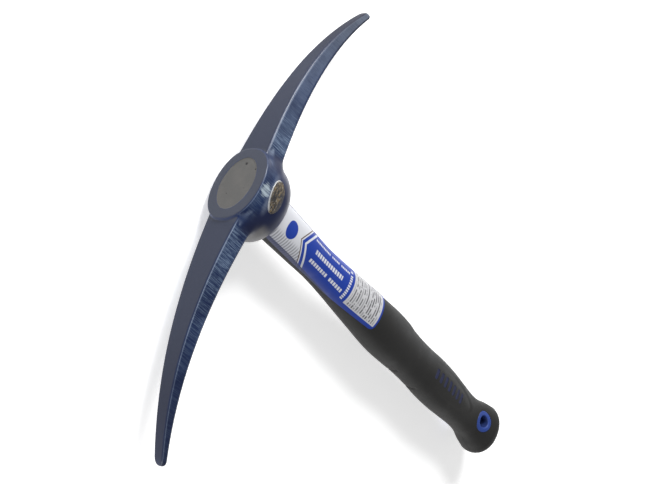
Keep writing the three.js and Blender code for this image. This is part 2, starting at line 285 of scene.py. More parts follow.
def mark(piece, name, values):
    """Keeps a number at each point for the finish to read."""
    layer = piece.data.attributes.new(name, "FLOAT", "POINT")
    layer.data.foreach_set("value", np.asarray(values, np.float32))


class Value:
    """A shader socket that plain arithmetic works on."""

    def __init__(self, finish, socket):
        self.finish, self.socket = finish, socket

    def math(self, operation, *others):
        inputs = dict(enumerate((self, *others)))
        return self.finish.node("ShaderNodeMath", {"operation": operation}, inputs)

    def reflected(self, operation, other):
        inputs = {0: other, 1: self}
        return self.finish.node("ShaderNodeMath", {"operation": operation}, inputs)

    def __add__(self, other):
        return self.math("ADD", other)

    def __sub__(self, other):
        return self.math("SUBTRACT", other)

    def __mul__(self, other):
        return self.math("MULTIPLY", other)

    def __truediv__(self, other):
        return self.math("DIVIDE", other)

    def __rsub__(self, other):
        return self.reflected("SUBTRACT", other)

    def __abs__(self):
        return self.math("ABSOLUTE")

    __radd__ = __add__
    __rmul__ = __mul__


class Painter:
    """Makes and links the nodes of one shader tree."""

    def __init__(self, tree):
        self.tree = tree

    def node(self, kind, settings, inputs, output=0):
        node = self.tree.nodes.new(kind)
        for name, value in settings.items():
            if name == "stops":
                self.set_stops(node.color_ramp.elements, value)
            else:
                setattr(node, name, value)
        for key, value in inputs.items():
            if isinstance(value, Value):
                self.tree.links.new(value.socket, node.inputs[key])
            else:
                node.inputs[key].default_value = value
        return Value(self, node.outputs[output])

    def set_stops(self, elements, stops):
        while len(elements) < len(stops):
            elements.new(0.5)
        for element, (place, value) in zip(elements, stops):
            element.position = place
            element.color = (value, value, value, 1)

    def fade(self, value, start, end, low=0.0, high=1.0):
        inputs = {0: value, 1: start, 2: end, 3: low, 4: high}
        return self.node("ShaderNodeMapRange", {"interpolation_type": "SMOOTHSTEP"}, inputs)


class Finish(Painter):
    """A material under construction on a Principled shader."""

    def __init__(self, name, constants):
        self.material = bpy.data.materials.new(name)
        self.material.use_nodes = True
        super().__init__(self.material.node_tree)
        self.shader = self.tree.nodes["Principled BSDF"]
        for socket, value in constants.items():
            self.shader.inputs[socket].default_value = value

    def give(self, socket, value):
        self.tree.links.new(value.socket, self.shader.inputs[socket])

    def stored(self, name):
        return self.node("ShaderNodeAttribute", {"attribute_name": name}, {}, output="Fac")

    def place(self, stretch=(1, 1, 1)):
        spot = self.node("ShaderNodeTexCoord", {}, {}, output="Object")
        return self.node("ShaderNodeVectorMath", {"operation": "MULTIPLY"}, {0: spot, 1: stretch})

    def noise(self, scale, detail=3.0, rough=0.5, stretch=(1, 1, 1)):
        inputs = {"Vector": self.place(stretch), "Scale": scale, "Detail": detail, "Roughness": rough}
        return self.node("ShaderNodeTexNoise", {}, inputs)

    def mix(self, share, a, b):
        inputs = {0: share, 6: a, 7: b}
        return self.node("ShaderNodeMix", {"data_type": "RGBA"}, inputs, output=2)

    def bump(self, height, distance, strength=1.0):
        inputs = {"Height": height, "Distance": distance, "Strength": strength}
        self.give("Normal", self.node("ShaderNodeBump", {}, inputs))

    def cover(self, piece):
        piece.data.materials.clear()
        piece.data.materials.append(self.material)


def enamel():
    """Dark blue enamel, streaked with grinding on the sides; painted greyer on the top faces as a painted
    reflection, with a painted reflection on the lower cheek's lobe and a painted highlight along the upper
    edges.
    """
    paint = Finish("navy_enamel", {"Specular IOR Level": 0.32, "Coat Roughness": 0.22})
    side, top = paint.stored("ground_side"), paint.stored("top_face")
    streak = paint.noise(1.0, 4.0, 0.6, stretch=(2100, 60, 120))
    fine = paint.noise(1.0, 3.0, 0.7, stretch=(4600, 150, 300))
    drift = paint.noise(60, 3.0)
    scraped = paint.fade(streak * 0.5 + fine * 0.6 + drift * 0.2, 0.585, 0.83) * side
    grain = paint.noise(1400, 4.0, 0.6)
    patchy = paint.fade(drift, 0.3, 0.7)
    navy = paint.mix(patchy, (0.005, 0.014, 0.058, 1), (0.008, 0.022, 0.082, 1))
    plum = paint.mix(patchy, (0.010, 0.015, 0.048, 1), (0.015, 0.022, 0.066, 1))
    base = paint.mix(paint.stored("cheek"), navy, plum)
    # painted reflection: a soft grey patch on the lobe at the foot of the right-hand cheek
    lobe_glint = paint.mix(grain, (0.12, 0.12, 0.125, 1), (0.20, 0.195, 0.19, 1))
    base = paint.mix(paint.stored("thin_paint"), base, lobe_glint)
    # painted reflection: the top faces get a greyer, lighter blue than the sides, lightest on the drum's top
    arm_top_sheen = paint.mix(grain, (0.015, 0.020, 0.042, 1), (0.027, 0.034, 0.062, 1))
    rim = paint.mix(grain, (0.025, 0.031, 0.050, 1), (0.044, 0.050, 0.074, 1))
    base = paint.mix(top, base, paint.mix(paint.stored("eye_rim"), arm_top_sheen, rim))
    base = paint.mix(scraped * 0.85, base, (0.24, 0.33, 0.46, 1))
    base = paint.mix(paint.stored("toward_tip"), base, (0.004, 0.007, 0.024, 1))
    bare = paint.fade(paint.stored("bare_spot") * 1.5 + streak * 2.4 + fine * 2.0 - 3.15, 0.0, 0.7)
    base = paint.mix(bare * 0.9, base, (0.42, 0.50, 0.56, 1))
    # painted highlight: a pale line along the upper side's edges, broken up by noise
    edge_glint = paint.stored("worn_edge") * paint.fade(fine + drift * 0.5, 0.45, 0.95, 0.35, 1.0)
    paint.give("Base Color", paint.mix(edge_glint, base, (0.30, 0.36, 0.46, 1)))
    dull = paint.fade(top + scraped + paint.stored("toward_tip") * 0.6 + grain * 0.3, 0.0, 1.6)
    paint.give("Roughness", dull * 0.30 + 0.34)
    paint.give("Coat Weight", (1 - top) * 0.15)
    paint.bump(streak * side * 1.2 + fine * side * 0.6 + grain * 0.25, 0.00008, 0.7)
    return paint


head = new_piece("pick_head_forging", *skin(head_sections()))
eye_cutter = new_piece("eye_cutter", *skin([eye_ring(-1, 0), eye_ring(CHEEK_END + 1, 0)]))
carve(head, eye_cutter)
drop_slivers(head)
smooth(head, 32)
spot, facing = tool_points(head)
reach = np.abs(spot[:, 0])
flat_side = ramp(np.abs(facing[:, 2]), 0.80, 0.96)
right = spot[:, 0] > 0
worked = np.where(right, 1 - 0.75 * ramp(reach, 52, 95), 1 - 0.9 * ramp(reach, 32, 62))
drum_band = 0.3 * (1 - ramp(reach, 14, 20)) * (1 - ramp(spot[:, 1], 6, 10))
mark(head, "ground_side", flat_side * np.maximum(worked * ramp(reach, 20, 27), drum_band))
# top faces: a painted greyer reflection in the colour, and a duller finish
mark(head, "top_face", ramp(-facing[:, 1], 0.75, 0.95))
mark(head, "eye_rim", 1 - ramp(reach, 20.5, 23))
mark(head, "toward_tip", ramp(reach, 70, 132) * np.where(right, 0.5, 0.95))
# painted highlight along the bevel between the top faces and the upper side, fading toward the tips
edge = ramp(-facing[:, 1], 0.10, 0.24) * (1 - ramp(-facing[:, 1], 0.42, 0.60))
along_edge = ramp(reach, 18, 24) * (1 - 0.6 * ramp(reach, 60, 110)) + 0.45 * (1 - ramp(reach, 14, 20))
mark(head, "worn_edge", edge * along_edge * (facing[:, 2] > 0.5) * (spot[:, 1] < 45) * 0.8)
off_drum = np.abs(oval_field(spot[:, 0], spot[:, 2], *DRUM, DRUM_POWER))
below_points = ramp(spot[:, 1], 4, 9) * (1 - ramp(reach, 22, 25))
mark(head, "cheek", below_points * np.maximum(ramp(off_drum, 0.1, 0.6), ramp(spot[:, 1], 12, 14)))
# painted reflection on the lobe at the foot of the right-hand cheek
foot = ramp(spot[:, 1], 14, 18) * (1 - ramp(reach, 24, 26))
mark(head, "thin_paint", foot * ramp(spot[:, 0], 12.5, 17) * 0.9)
bare_x = (spot[:, 0] - 0.8) / 6.0
bare_y = (spot[:, 1] - 4.6) / 5.6
mark(head, "bare_spot", np.where(spot[:, 2] > 8, 1 - ramp(np.hypot(bare_x, bare_y), 0.35, 1.1), 0))
enamel().cover(head)
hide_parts("pick_head")
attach(head, "root")

# ---- Foil seal ----------------------------------------------------------------------------
# A small oval of embossed gold foil, stuck on the upper cheek under the drum's edge. It is
# rubbed dull, with a beaded rim that carries a painted highlight on its side toward the drum,
# and plain strokes where the stamping was.

SEAL_MIDDLE = (-0.6, 12.7)
SEAL_HALF = (9.2, 4.85)
SEAL_TILT = 6.0
SEAL_LIFT, SEAL_BEAD = 0.22, 0.14


def cheek_height(x, y):
    """Height of the steel's upper side over the head's middle plane."""
    low, high = np.full(len(x), 9.0), np.full(len(x), 22.0)
    for _ in range(30):
        trial = (low + high) / 2
        solid = head_field(x, y, trial) < 0
        low, high = np.where(solid, trial, low), np.where(solid, high, trial)
    return low


def seal_rings():
    turn, tilt = np.linspace(0, 2 * math.pi, 96, endpoint=False), math.radians(SEAL_TILT)
    rings = []
    below = list(np.linspace(0.02, 1.0, 26))
    above = [1.0, 0.99, 0.975, 0.955, 0.93, 0.905, 0.88] + list(np.linspace(0.84, 0.02, 26))
    for k, share in enumerate(below + above):
        u, v = SEAL_HALF[0] * share * np.cos(turn), SEAL_HALF[1] * share * np.sin(turn)
        x = SEAL_MIDDLE[0] + u * math.cos(tilt) - v * math.sin(tilt)
        y = SEAL_MIDDLE[1] + u * math.sin(tilt) + v * math.cos(tilt)
        bead = SEAL_BEAD * math.exp(-(((share - 0.945) / 0.025) ** 2))
        lift = SEAL_LIFT * float(ramp(1.002 - share, -0.001, 0.02)) + bead
        lift = 0.02 if k < len(below) else lift
        rings.append(np.column_stack([x, y, cheek_height(x, y) + lift]))
    return rings


def gold_foil():
    """Embossed foil: gold rubbed to brown and grey, dark in the strokes, with a painted highlight on the
    bead's side toward the drum.
    """
    foil = Finish("gold_foil", {"Specular IOR Level": 0.5})
    strokes = foil.noise(1.0, 2.0, 0.5, stretch=(330, 1050, 600))
    flecks, cloud = foil.noise(1700, 3.0, 0.7), foil.noise(260, 3.0)
    gold = foil.mix(foil.fade(cloud, 0.38, 0.70), (0.075, 0.060, 0.042, 1), (0.25, 0.18, 0.09, 1))
    gold = foil.mix(foil.fade(flecks, 0.48, 0.66) * 0.7, gold, (0.42, 0.42, 0.40, 1))
    gold = foil.mix(foil.fade(strokes, 0.46, 0.55) * 0.9, gold, (0.018, 0.018, 0.022, 1))
    gold = foil.mix(foil.stored("rubbed"), gold, (0.060, 0.066, 0.085, 1))
    # painted highlight: pale grey on the bead's side toward the drum
    foil.give("Base Color", foil.mix(foil.stored("bead"), gold, (0.52, 0.53, 0.54, 1)))
    foil.give("Roughness", foil.fade(flecks, 0.3, 0.7) * 0.25 + 0.32)
    foil.give("Metallic", foil.fade(strokes, 0.60, 0.50) * 0.35)
    foil.bump(foil.fade(strokes, 0.60, 0.50) + flecks * 0.3, 0.00012)
    return foil


seal = new_piece("cheek_foil", *skin(seal_rings()))
smooth(seal, 45)
spot, _ = tool_points(seal)
u, v = spot[:, 0] - SEAL_MIDDLE[0], spot[:, 1] - SEAL_MIDDLE[1]
share = np.hypot(u / SEAL_HALF[0], (v - u * math.tan(math.radians(SEAL_TILT))) / SEAL_HALF[1])
# painted highlight on the bead, only on its side toward the drum
mark(seal, "bead", ramp(share, 0.86, 0.93) * ramp(-v, -0.3, 2.2) * 0.8)
mark(seal, "rubbed", ramp(v, 0.5, 5.0) * 0.75)
gold_foil().cover(seal)
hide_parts("cheek_seal")
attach(seal, "root")

# ---- Fibreglass core ----------------------------------------------------------------------
# A pultruded oval bar of straight glass fibres in polyester resin, cut square at both ends.
# It runs from just under the eye's filling to the butt and is hidden all the way.


def fibreglass():
    """Straw-coloured resin with fine lengthwise fibres."""
    bar = Finish("pultruded_glass", {"Coat Weight": 0.2})
    fibres = bar.noise(1.0, 4.0, 0.6, stretch=(3000, 30, 3000))
    bar.give("Base Color", bar.mix(fibres, (0.52, 0.44, 0.22, 1), (0.78, 0.72, 0.50, 1)))
    bar.give("Roughness", fibres * 0.2 + 0.35)
    bar.bump(fibres, 0.00005)
    return bar


fibreglass().cover(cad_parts["handle_core"])

# ---- Inner jacket -------------------------------------------------------------------------
# Blue nylon moulded over the core. Only its collar shows, an oval bush that lines the
# hanging hole and stands a hair proud of the rubber on both sides of the butt.

GRIP_TOP = (grip_low.y - tool_axis[1]) / MM
BUTT = (grip_high.y - tool_axis[1]) / MM
KNOB = 299.0
FLATNESS = 0.8
HANDLE_POWER = 2.15
RUBBER_WALL = 2.2
JACKET_GAP = 0.3
HALF_WIDTHS = (
    (GRIP_TOP, 12.0), (61, 11.2), (79, 10.7), (98, 11.5), (117, 12.9), (134, 14.1),
    (150, 15.2), (160, 15.45), (174, 14.95), (189, 14.2), (204, 14.2), (221, 15.0),
    (238, 14.9), (254, 13.9), (271, 13.0), (281, 13.8), (290, 15.9), (KNOB, 17.4),
)
HOLE_CENTRE = 284.4
HOLE_HALF = (3.9, 4.2)
COLLAR_RIM = 3.2
COLLAR_PROUD = 0.1


def half_width(y, wall=0.0):
    """Half width of the handle at y, less a wall: a smooth curve, then a rounded butt."""
    places, widths = np.array(HALF_WIDTHS).T
    slopes = np.gradient(widths, places)
    slopes[1:-1] = (widths[2:] - widths[:-2]) / (places[2:] - places[:-2])
    at = np.clip(y, places[0], places[-1])
    k = np.clip(np.searchsorted(places, at, side="right") - 1, 0, len(places) - 2)
    step = places[k + 1] - places[k]
    t = (at - places[k]) / step
    u = 1 - t
    curve = widths[k] * u * u * (1 + 2 * t) + widths[k + 1] * t * t * (3 - 2 * t)
    curve = curve + step * t * u * (slopes[k] * u - slopes[k + 1] * t) - wall
    over = np.clip((y - KNOB) / (BUTT - wall - KNOB), 0, 1)
    return curve * np.maximum(1 - over**2.3, 0) ** (1 / 2.3)


def handle_point(turn, y, out=0.0):
    """A point on the handle; turn 0 faces up, a quarter turn faces the right-hand point."""
    half = half_width(y)
    s, c = np.sin(turn), np.cos(turn)
    x = (half + out) * np.sign(s) * np.abs(s) ** (2 / HANDLE_POWER)
    z = (half * FLATNESS + out) * np.sign(c) * np.abs(c) ** (2 / HANDLE_POWER)
    return np.stack([x, y, z], axis=-1)


def handle_ring(y, wall, count):
    half = max(float(half_width(np.array(y), wall)), 0.3)
    return oval_ring(y, half, max(half * FLATNESS - 0.2 * wall, 0.25), HANDLE_POWER, count)


def butt_stations(wall, steps):
    """Places down the rounded butt, closing up toward its end."""
    swing = np.radians(np.linspace(0, 86, steps + 1)[1:])
    return [KNOB + (BUTT - wall - KNOB) * math.sin(a) for a in swing]


def hole_outline(grow, count=80):
    """Oval outline of the hanging hole, let out by grow."""
    turn = np.linspace(0, 2 * math.pi, count, endpoint=False)
    half_x, half_y = HOLE_HALF[0] + grow, HOLE_HALF[1] + grow
    return np.column_stack([half_x * np.sin(turn), HOLE_CENTRE + half_y * np.cos(turn)])


def surface_height(x, y):
    """Height of the rubber's upper side over the handle's axis."""
    half = half_width(y)
    share = np.clip(np.abs(x) / np.maximum(half, 0.1), 0, 0.98)
    return half * FLATNESS * (1 - share**HANDLE_POWER) ** (1 / HANDLE_POWER)


def hole_column(grow, height):
    outline = hole_outline(grow)
    ends = [np.column_stack([outline, np.full(len(outline), z)]) for z in (-height, height)]
    return skin(ends)


def collar_bush():
    """A tube with rounded lips that follow the handle's surface at both ends."""
    lip = 0.7
    rings = []
    for side in (1, -1):
        arc = np.radians(np.linspace(0, 90, 7))
        outer = [(COLLAR_RIM - lip * (1 - math.cos(a)) * 0.8, lip * (math.sin(a) - 1)) for a in arc]
        inner = [(lip * (1 - math.sin(a)), lip * (math.cos(a) - 1)) for a in arc]
        profile = outer + inner
        for grow, drop in profile if side > 0 else reversed(profile):
            outline = hole_outline(grow)
            lift = surface_height(outline[:, 0], outline[:, 1]) + COLLAR_PROUD + drop
            rings.append(np.column_stack([outline, side * lift]))
    return skin(rings, closed=True)


def blue_nylon():
    """Moulded nylon with a faint satin grain, scuffed paler here and there, with painted shade in the bore.
    """
    nylon = Finish("blue_nylon", {"Specular IOR Level": 0.45})
    grain, scuff = nylon.noise(2600, 3.0, 0.6), nylon.noise(280, 3.0, 0.6)
    blue = nylon.mix(grain, (0.018, 0.046, 0.22, 1), (0.030, 0.068, 0.30, 1))
    blue = nylon.mix(nylon.fade(scuff, 0.52, 0.80) * 0.5, blue, (0.06, 0.12, 0.38, 1))
    # painted shade: near black down in the bore
    nylon.give("Base Color", nylon.mix(nylon.stored("bore"), blue, (0.003, 0.005, 0.022, 1)))
    nylon.give("Roughness", grain * 0.18 + 0.42)
    nylon.bump(grain + scuff * 0.4, 0.00004)
    return nylon


jacket_wall = RUBBER_WALL + JACKET_GAP
jacket_top = (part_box("inner_jacket")[0].y - tool_axis[1]) / MM
jacket_rows = list(np.linspace(jacket_top, KNOB, 60)) + butt_stations(jacket_wall, 6)
jacket = new_piece("blue_jacket", *skin([handle_ring(y, jacket_wall, 48) for y in jacket_rows]))
carve(jacket, new_piece("hole_cutter", *hole_column(COLLAR_RIM * 0.5, 30)))
carve(jacket, new_piece("collar", *collar_bush()), "UNION")
smooth(jacket, 35)
spot, _ = tool_points(jacket)
# painted shade inside the hanging hole, darker the deeper the wall
near_hole = np.hypot(spot[:, 0], spot[:, 1] - HOLE_CENTRE) < HOLE_HALF[1] + 0.9
depth = surface_height(spot[:, 0], spot[:, 1]) - np.abs(spot[:, 2])
mark(jacket, "bore", np.where(near_hole, ramp(depth, 0.25, 0.9), 0))
blue_nylon().cover(jacket)
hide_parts("inner_jacket")
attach(jacket, "root")

# ---- Rubber grip --------------------------------------------------------------------------
# Soft black rubber moulded over the jacket, slim at the neck, full in the palm and flared at
# the butt. Both flats carry a shallow lens panel, and finger grooves cross the under edges.

PANEL_MIDDLE, PANEL_HALF_LENGTH, PANEL_HALF_WIDTH, PANEL_DEPTH = 229.0, 37.0, 9.6, 0.45
GROOVES = (183.2, 207.8)
GROOVE_DEPTH, GROOVE_HALF_WIDTH = 0.75, 1.1
SHOULDER = 173.0
SEAM_PROUD = 0.12


def grip_relief(turn, y):
    """How far the moulded detail stands out of the plain handle shape, in millimetres."""
    plain = handle_point(turn, y)
    along, x, z = y - PANEL_MIDDLE, plain[..., 0], plain[..., 2]
    lens = np.sqrt(np.maximum(1 - (along / PANEL_HALF_LENGTH) ** 2, 0)) * PANEL_HALF_WIDTH
    inside = np.minimum(lens - np.abs(x), PANEL_HALF_LENGTH - np.abs(along))
    relief = -PANEL_DEPTH * ramp(inside, -0.3, 1.8) * (1 - 0.75 * ramp(inside, 1.8, 7.0))
    relief = relief * ramp(y, 204, 244)
    under = ramp(np.abs(turn), math.radians(74), math.radians(80))
    for middle in GROOVES:
        groove = np.exp(-(((y - middle) / GROOVE_HALF_WIDTH) ** 2))
        relief = relief - GROOVE_DEPTH * groove * under
    step = ramp(y, SHOULDER - 22, SHOULDER - 2) * (1 - ramp(y, SHOULDER, SHOULDER + 7))
    left = ramp(-turn, math.radians(20), math.radians(60)) * (1 - ramp(-turn, 2.2, 2.8))
    relief = relief + 0.45 * step * left
    seam = np.exp(-(((np.abs(turn) - math.pi / 2) * 14 / 0.35) ** 2))
    return relief + SEAM_PROUD * seam * ramp(y, GRIP_TOP + 2, GRIP_TOP + 6)


def grip_rings():
    """Rings of the outer surface down to the butt, and of the inner one back up to the neck."""
    count = 144
    turn = np.linspace(-math.pi, math.pi, count, endpoint=False)
    rows = [GRIP_TOP + 0.35] + list(np.linspace(GRIP_TOP + 1.2, 176, 84))
    rows += list(np.arange(176.6, 212, 0.6)) + list(np.linspace(212.6, KNOB, 72))
    rows += butt_stations(0, 14)
    lip = handle_ring(GRIP_TOP, 0.4, count)
    lip = np.roll(lip, count // 2, axis=0)
    outer = [lip]
    for y in rows:
        close = 1 - ramp(y, KNOB, BUTT)
        relief = grip_relief(turn, np.full(count, y)) * close
        half = half_width(np.array(y))
        ring = handle_point(turn, np.full(count, y))
        away = ring * (1, 0, 1) / np.maximum(np.hypot(ring[:, 0], ring[:, 2]), 1e-6)[:, None]
        outer.append(ring + away * relief[:, None] * (1 if half > 4 else 0))
    wall = RUBBER_WALL - 0.1
    inner_rows = list(np.linspace(GRIP_TOP, KNOB, 50)) + butt_stations(wall, 6)
    inner = [np.roll(handle_ring(y, wall, count), count // 2, axis=0) for y in reversed(inner_rows)]
    return outer, inner


def black_rubber():
    """Matt rubber: fine moulded grain, a brown cast and hand-worn patches a little shinier, with painted
    light on the left-hand flank, painted shade on the right-hand flank, and darker toward the butt.
    """
    rubber = Finish("grip_rubber", {
        "Specular IOR Level": 0.34, "Sheen Weight": 0.05, "Sheen Roughness": 0.5,
    })
    grain, cloud = rubber.noise(3200, 3.0, 0.65), rubber.noise(70, 4.0, 0.55)
    dust = rubber.noise(420, 5.0, 0.7)
    dark = rubber.mix(cloud, (0.0095, 0.0090, 0.0082, 1), (0.0175, 0.0168, 0.0155, 1))
    dark = rubber.mix(rubber.fade(dust, 0.55, 0.85) * 0.45, dark, (0.036, 0.034, 0.032, 1))
    # painted light: a paler grey on the left-hand flank, where the key lamp falls
    dark = rubber.mix(rubber.stored("bloom") * (cloud * 0.6 + 0.5), dark, (0.052, 0.053, 0.055, 1))
    # painted shade on the right-hand flank, and darker toward the butt
    dark = rubber.mix(rubber.stored("deep"), dark, (0.006, 0.006, 0.006, 1))
    rubber.give("Base Color", rubber.mix(grain * 0.3, dark, (0.022, 0.022, 0.022, 1)))
    rubber.give("Roughness", 0.62 - rubber.fade(cloud, 0.45, 0.75) * 0.12 + grain * 0.1)
    rubber.bump(grain + dust * 0.5, 0.00006, 0.8)
    return rubber


def grip_mesh():
    """Both surfaces in one closed shell, each closed at the butt by its own fan."""
    outer, inner = grip_rings()
    rings = outer + inner
    count, split = len(outer[0]), len(outer)
    points = np.vstack(rings)
    points = np.vstack([points, outer[-1].mean(axis=0), inner[0].mean(axis=0)])
    faces = []
    for r in range(len(rings)):
        if r == split - 1:
            continue
        a, b = r * count, ((r + 1) % len(rings)) * count
        faces += [(a + i, a + (i + 1) % count, b + (i + 1) % count, b + i) for i in range(count)]
    hub, last, first = len(points) - 2, (split - 1) * count, split * count
    faces += [(hub, last + i, last + (i + 1) % count) for i in range(count)]
    faces += [(hub + 1, first + (i + 1) % count, first + i) for i in range(count)]
    return points, faces


grip = new_piece("grip_sleeve", *grip_mesh())
carve(grip, new_piece("collar_cutter", *hole_column(COLLAR_RIM + 0.08, 30)))

# ---- Inlay --------------------------------------------------------------------------------
# A row of seven small bars of muted blue nylon, moulded with a hidden backing strip and
# pressed into pockets in the upper panel, just below the rubber.

BARS = 7
BAR_FROM, BAR_TO = 211.0, 250.0
BAR_WIDTH, BAR_LENGTH, BAR_SUNK, BAR_DEPTH = 3.2, 6.6, 0.12, 1.0


def bar_block(y, grow, low, high):
    """A rounded slab across the handle that follows the panel's surface."""
    corner = 1.0
    half_x, half_y = BAR_LENGTH / 2 + grow, BAR_WIDTH / 2 + grow
    outline = []
    for cx, cy, start in ((1, 1, 0), (-1, 1, 90), (-1, -1, 180), (1, -1, 270)):
        for a in np.radians(np.linspace(start, start + 90, 6)):
            x = cx * (half_x - corner) + corner * math.cos(a)
            outline.append((x, y + cy * (half_y - corner) + corner * math.sin(a)))
    outline = np.array(outline)
    top = surface_height(outline[:, 0], outline[:, 1])
    return skin([np.column_stack([outline, top + low]), np.column_stack([outline, top + high])])


def merged(parts):
    """Several closed meshes as one list of points and faces."""
    points, faces, start = [], [], 0
    for some, corners in parts:
        points.append(some)
        faces += [tuple(start + k for k in face) for face in corners]
        start += len(some)
    return np.vstack(points), faces


bar_places = np.linspace(BAR_FROM + BAR_WIDTH / 2, BAR_TO - BAR_WIDTH / 2, BARS)
pockets = merged([bar_block(y, 0.12, -BAR_DEPTH, 1.0) for y in bar_places])
carve(grip, new_piece("pocket_cutter", *pockets))
smooth(grip, 38)
spot, _ = tool_points(grip)
aside, down = spot[:, 0] / half_width(spot[:, 1]).clip(1), spot[:, 1]
# painted light on the left-hand flank, down the palm
mark(grip, "bloom", ramp(-aside, -0.25, 0.55) * ramp(down, 128, 165) * (1 - ramp(down, 255, 285)) * 0.8)
# painted shade on the right-hand flank, and darker toward the butt
mark(grip, "deep", 0.6 * ramp(down, 262, 296) + 0.5 * ramp(aside, -0.2, 0.4) * (1 - ramp(down, 190, 260)))
black_rubber().cover(grip)
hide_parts("rubber_grip")
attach(grip, "root")

bar_top = -PANEL_DEPTH * 0.2 - BAR_SUNK
bars = merged([bar_block(y, 0, -BAR_DEPTH, bar_top) for y in bar_places])
inlay = new_piece("inlay_bars", *bars)
smooth(inlay, 35)


def muted_nylon():
    """The same nylon rubbed dull, with black rubber dust in its grain."""
    nylon = Finish("muted_nylon", {"Specular IOR Level": 0.35})
    grain, grime = nylon.noise(2600, 3.0, 0.6), nylon.noise(500, 4.0, 0.65)
    blue = nylon.mix(grain, (0.020, 0.024, 0.062, 1), (0.030, 0.036, 0.090, 1))
    nylon.give("Base Color", nylon.mix(nylon.fade(grime, 0.45, 0.75) * 0.7, blue, (0.022, 0.022, 0.030, 1)))
    nylon.give("Roughness", grime * 0.2 + 0.5)
    nylon.bump(grain, 0.00004)
    return nylon


muted_nylon().cover(inlay)
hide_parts("grip_inlay")
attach(inlay, "root")

# ---- Printed label ------------------------------------------------------------------------
# A glossy printed film wrapped a little over half way round the neck: white with fine stripes
# next to the head, a blue field behind a chevron, and a block of small print at the foot.

LABEL_FROM, LABEL_TO = 30.8, 136.4
LABEL_INSIDE, LABEL_OUTSIDE = 0.34, 0.62
LABEL_CORNER = 3.0
LABEL_RIGHT = -112.0
DISC_MIDDLE, DISC_RADIUS, DISC_HALF_TURN = 41.0, 4.6, 23.0
STRIPE_PITCH, LINE_PITCH = 1.9, 1.95
FOLD_AT, FOLD_SLOPE = 49.8, 0.165
FOOT_MIDDLE = 120.0
# turn of the row's middle, half its width, where it starts and ends, pitch of its blocks
PRINT_ROWS = ((29, 5.4, 64, 98, 2.3), (1, 5.4, 65, 94, 2.3), (-27, 3.4, 61, 99, 1.6))


def label_left(y):
    """Turn of the label's left edge, in degrees: wide beside the head, narrower at the foot."""
    return np.interp(y, (30, 60, 80, 92, 111, 122, 137), (75, 79, 78.5, 75, 59.5, 52, 43))


def label_sheet():
    rows = np.concatenate([LABEL_FROM + np.array([0, 0.3, 0.9, 1.8]), np.linspace(33.8, 133.4, 112),
                           LABEL_TO - np.array([1.8, 0.9, 0.3, 0])])
    rings = []
    for y in rows:
        end = max(LABEL_CORNER - min(y - LABEL_FROM, LABEL_TO - y), 0)
        inset = LABEL_CORNER - math.sqrt(LABEL_CORNER**2 - end**2)
        per_mm = math.degrees(1 / float(half_width(np.array(y))))
        turn = np.linspace(LABEL_RIGHT + inset * per_mm, float(label_left(y)) - inset * per_mm, 97)
        there = np.full(len(turn), y)
        outer = handle_point(np.radians(turn), there, LABEL_OUTSIDE)
        inner = handle_point(np.radians(turn), there, LABEL_INSIDE)
        rings.append(np.vstack([outer, inner[::-1]]))
    # each end is closed by a strip from the outer row to the inner one
    points, faces = skin(rings)
    count, last = len(rings[0]), (len(rings) - 1) * len(rings[0])
    faces = [face for face in faces if max(face) < len(rings) * count]
    for k in range(count // 2 - 1):
        far = count - 1 - k
        faces.append((k, k + 1, far - 1, far))
        faces.append((last + k + 1, last + k, last + far, last + far - 1))
    return points[:-2], faces


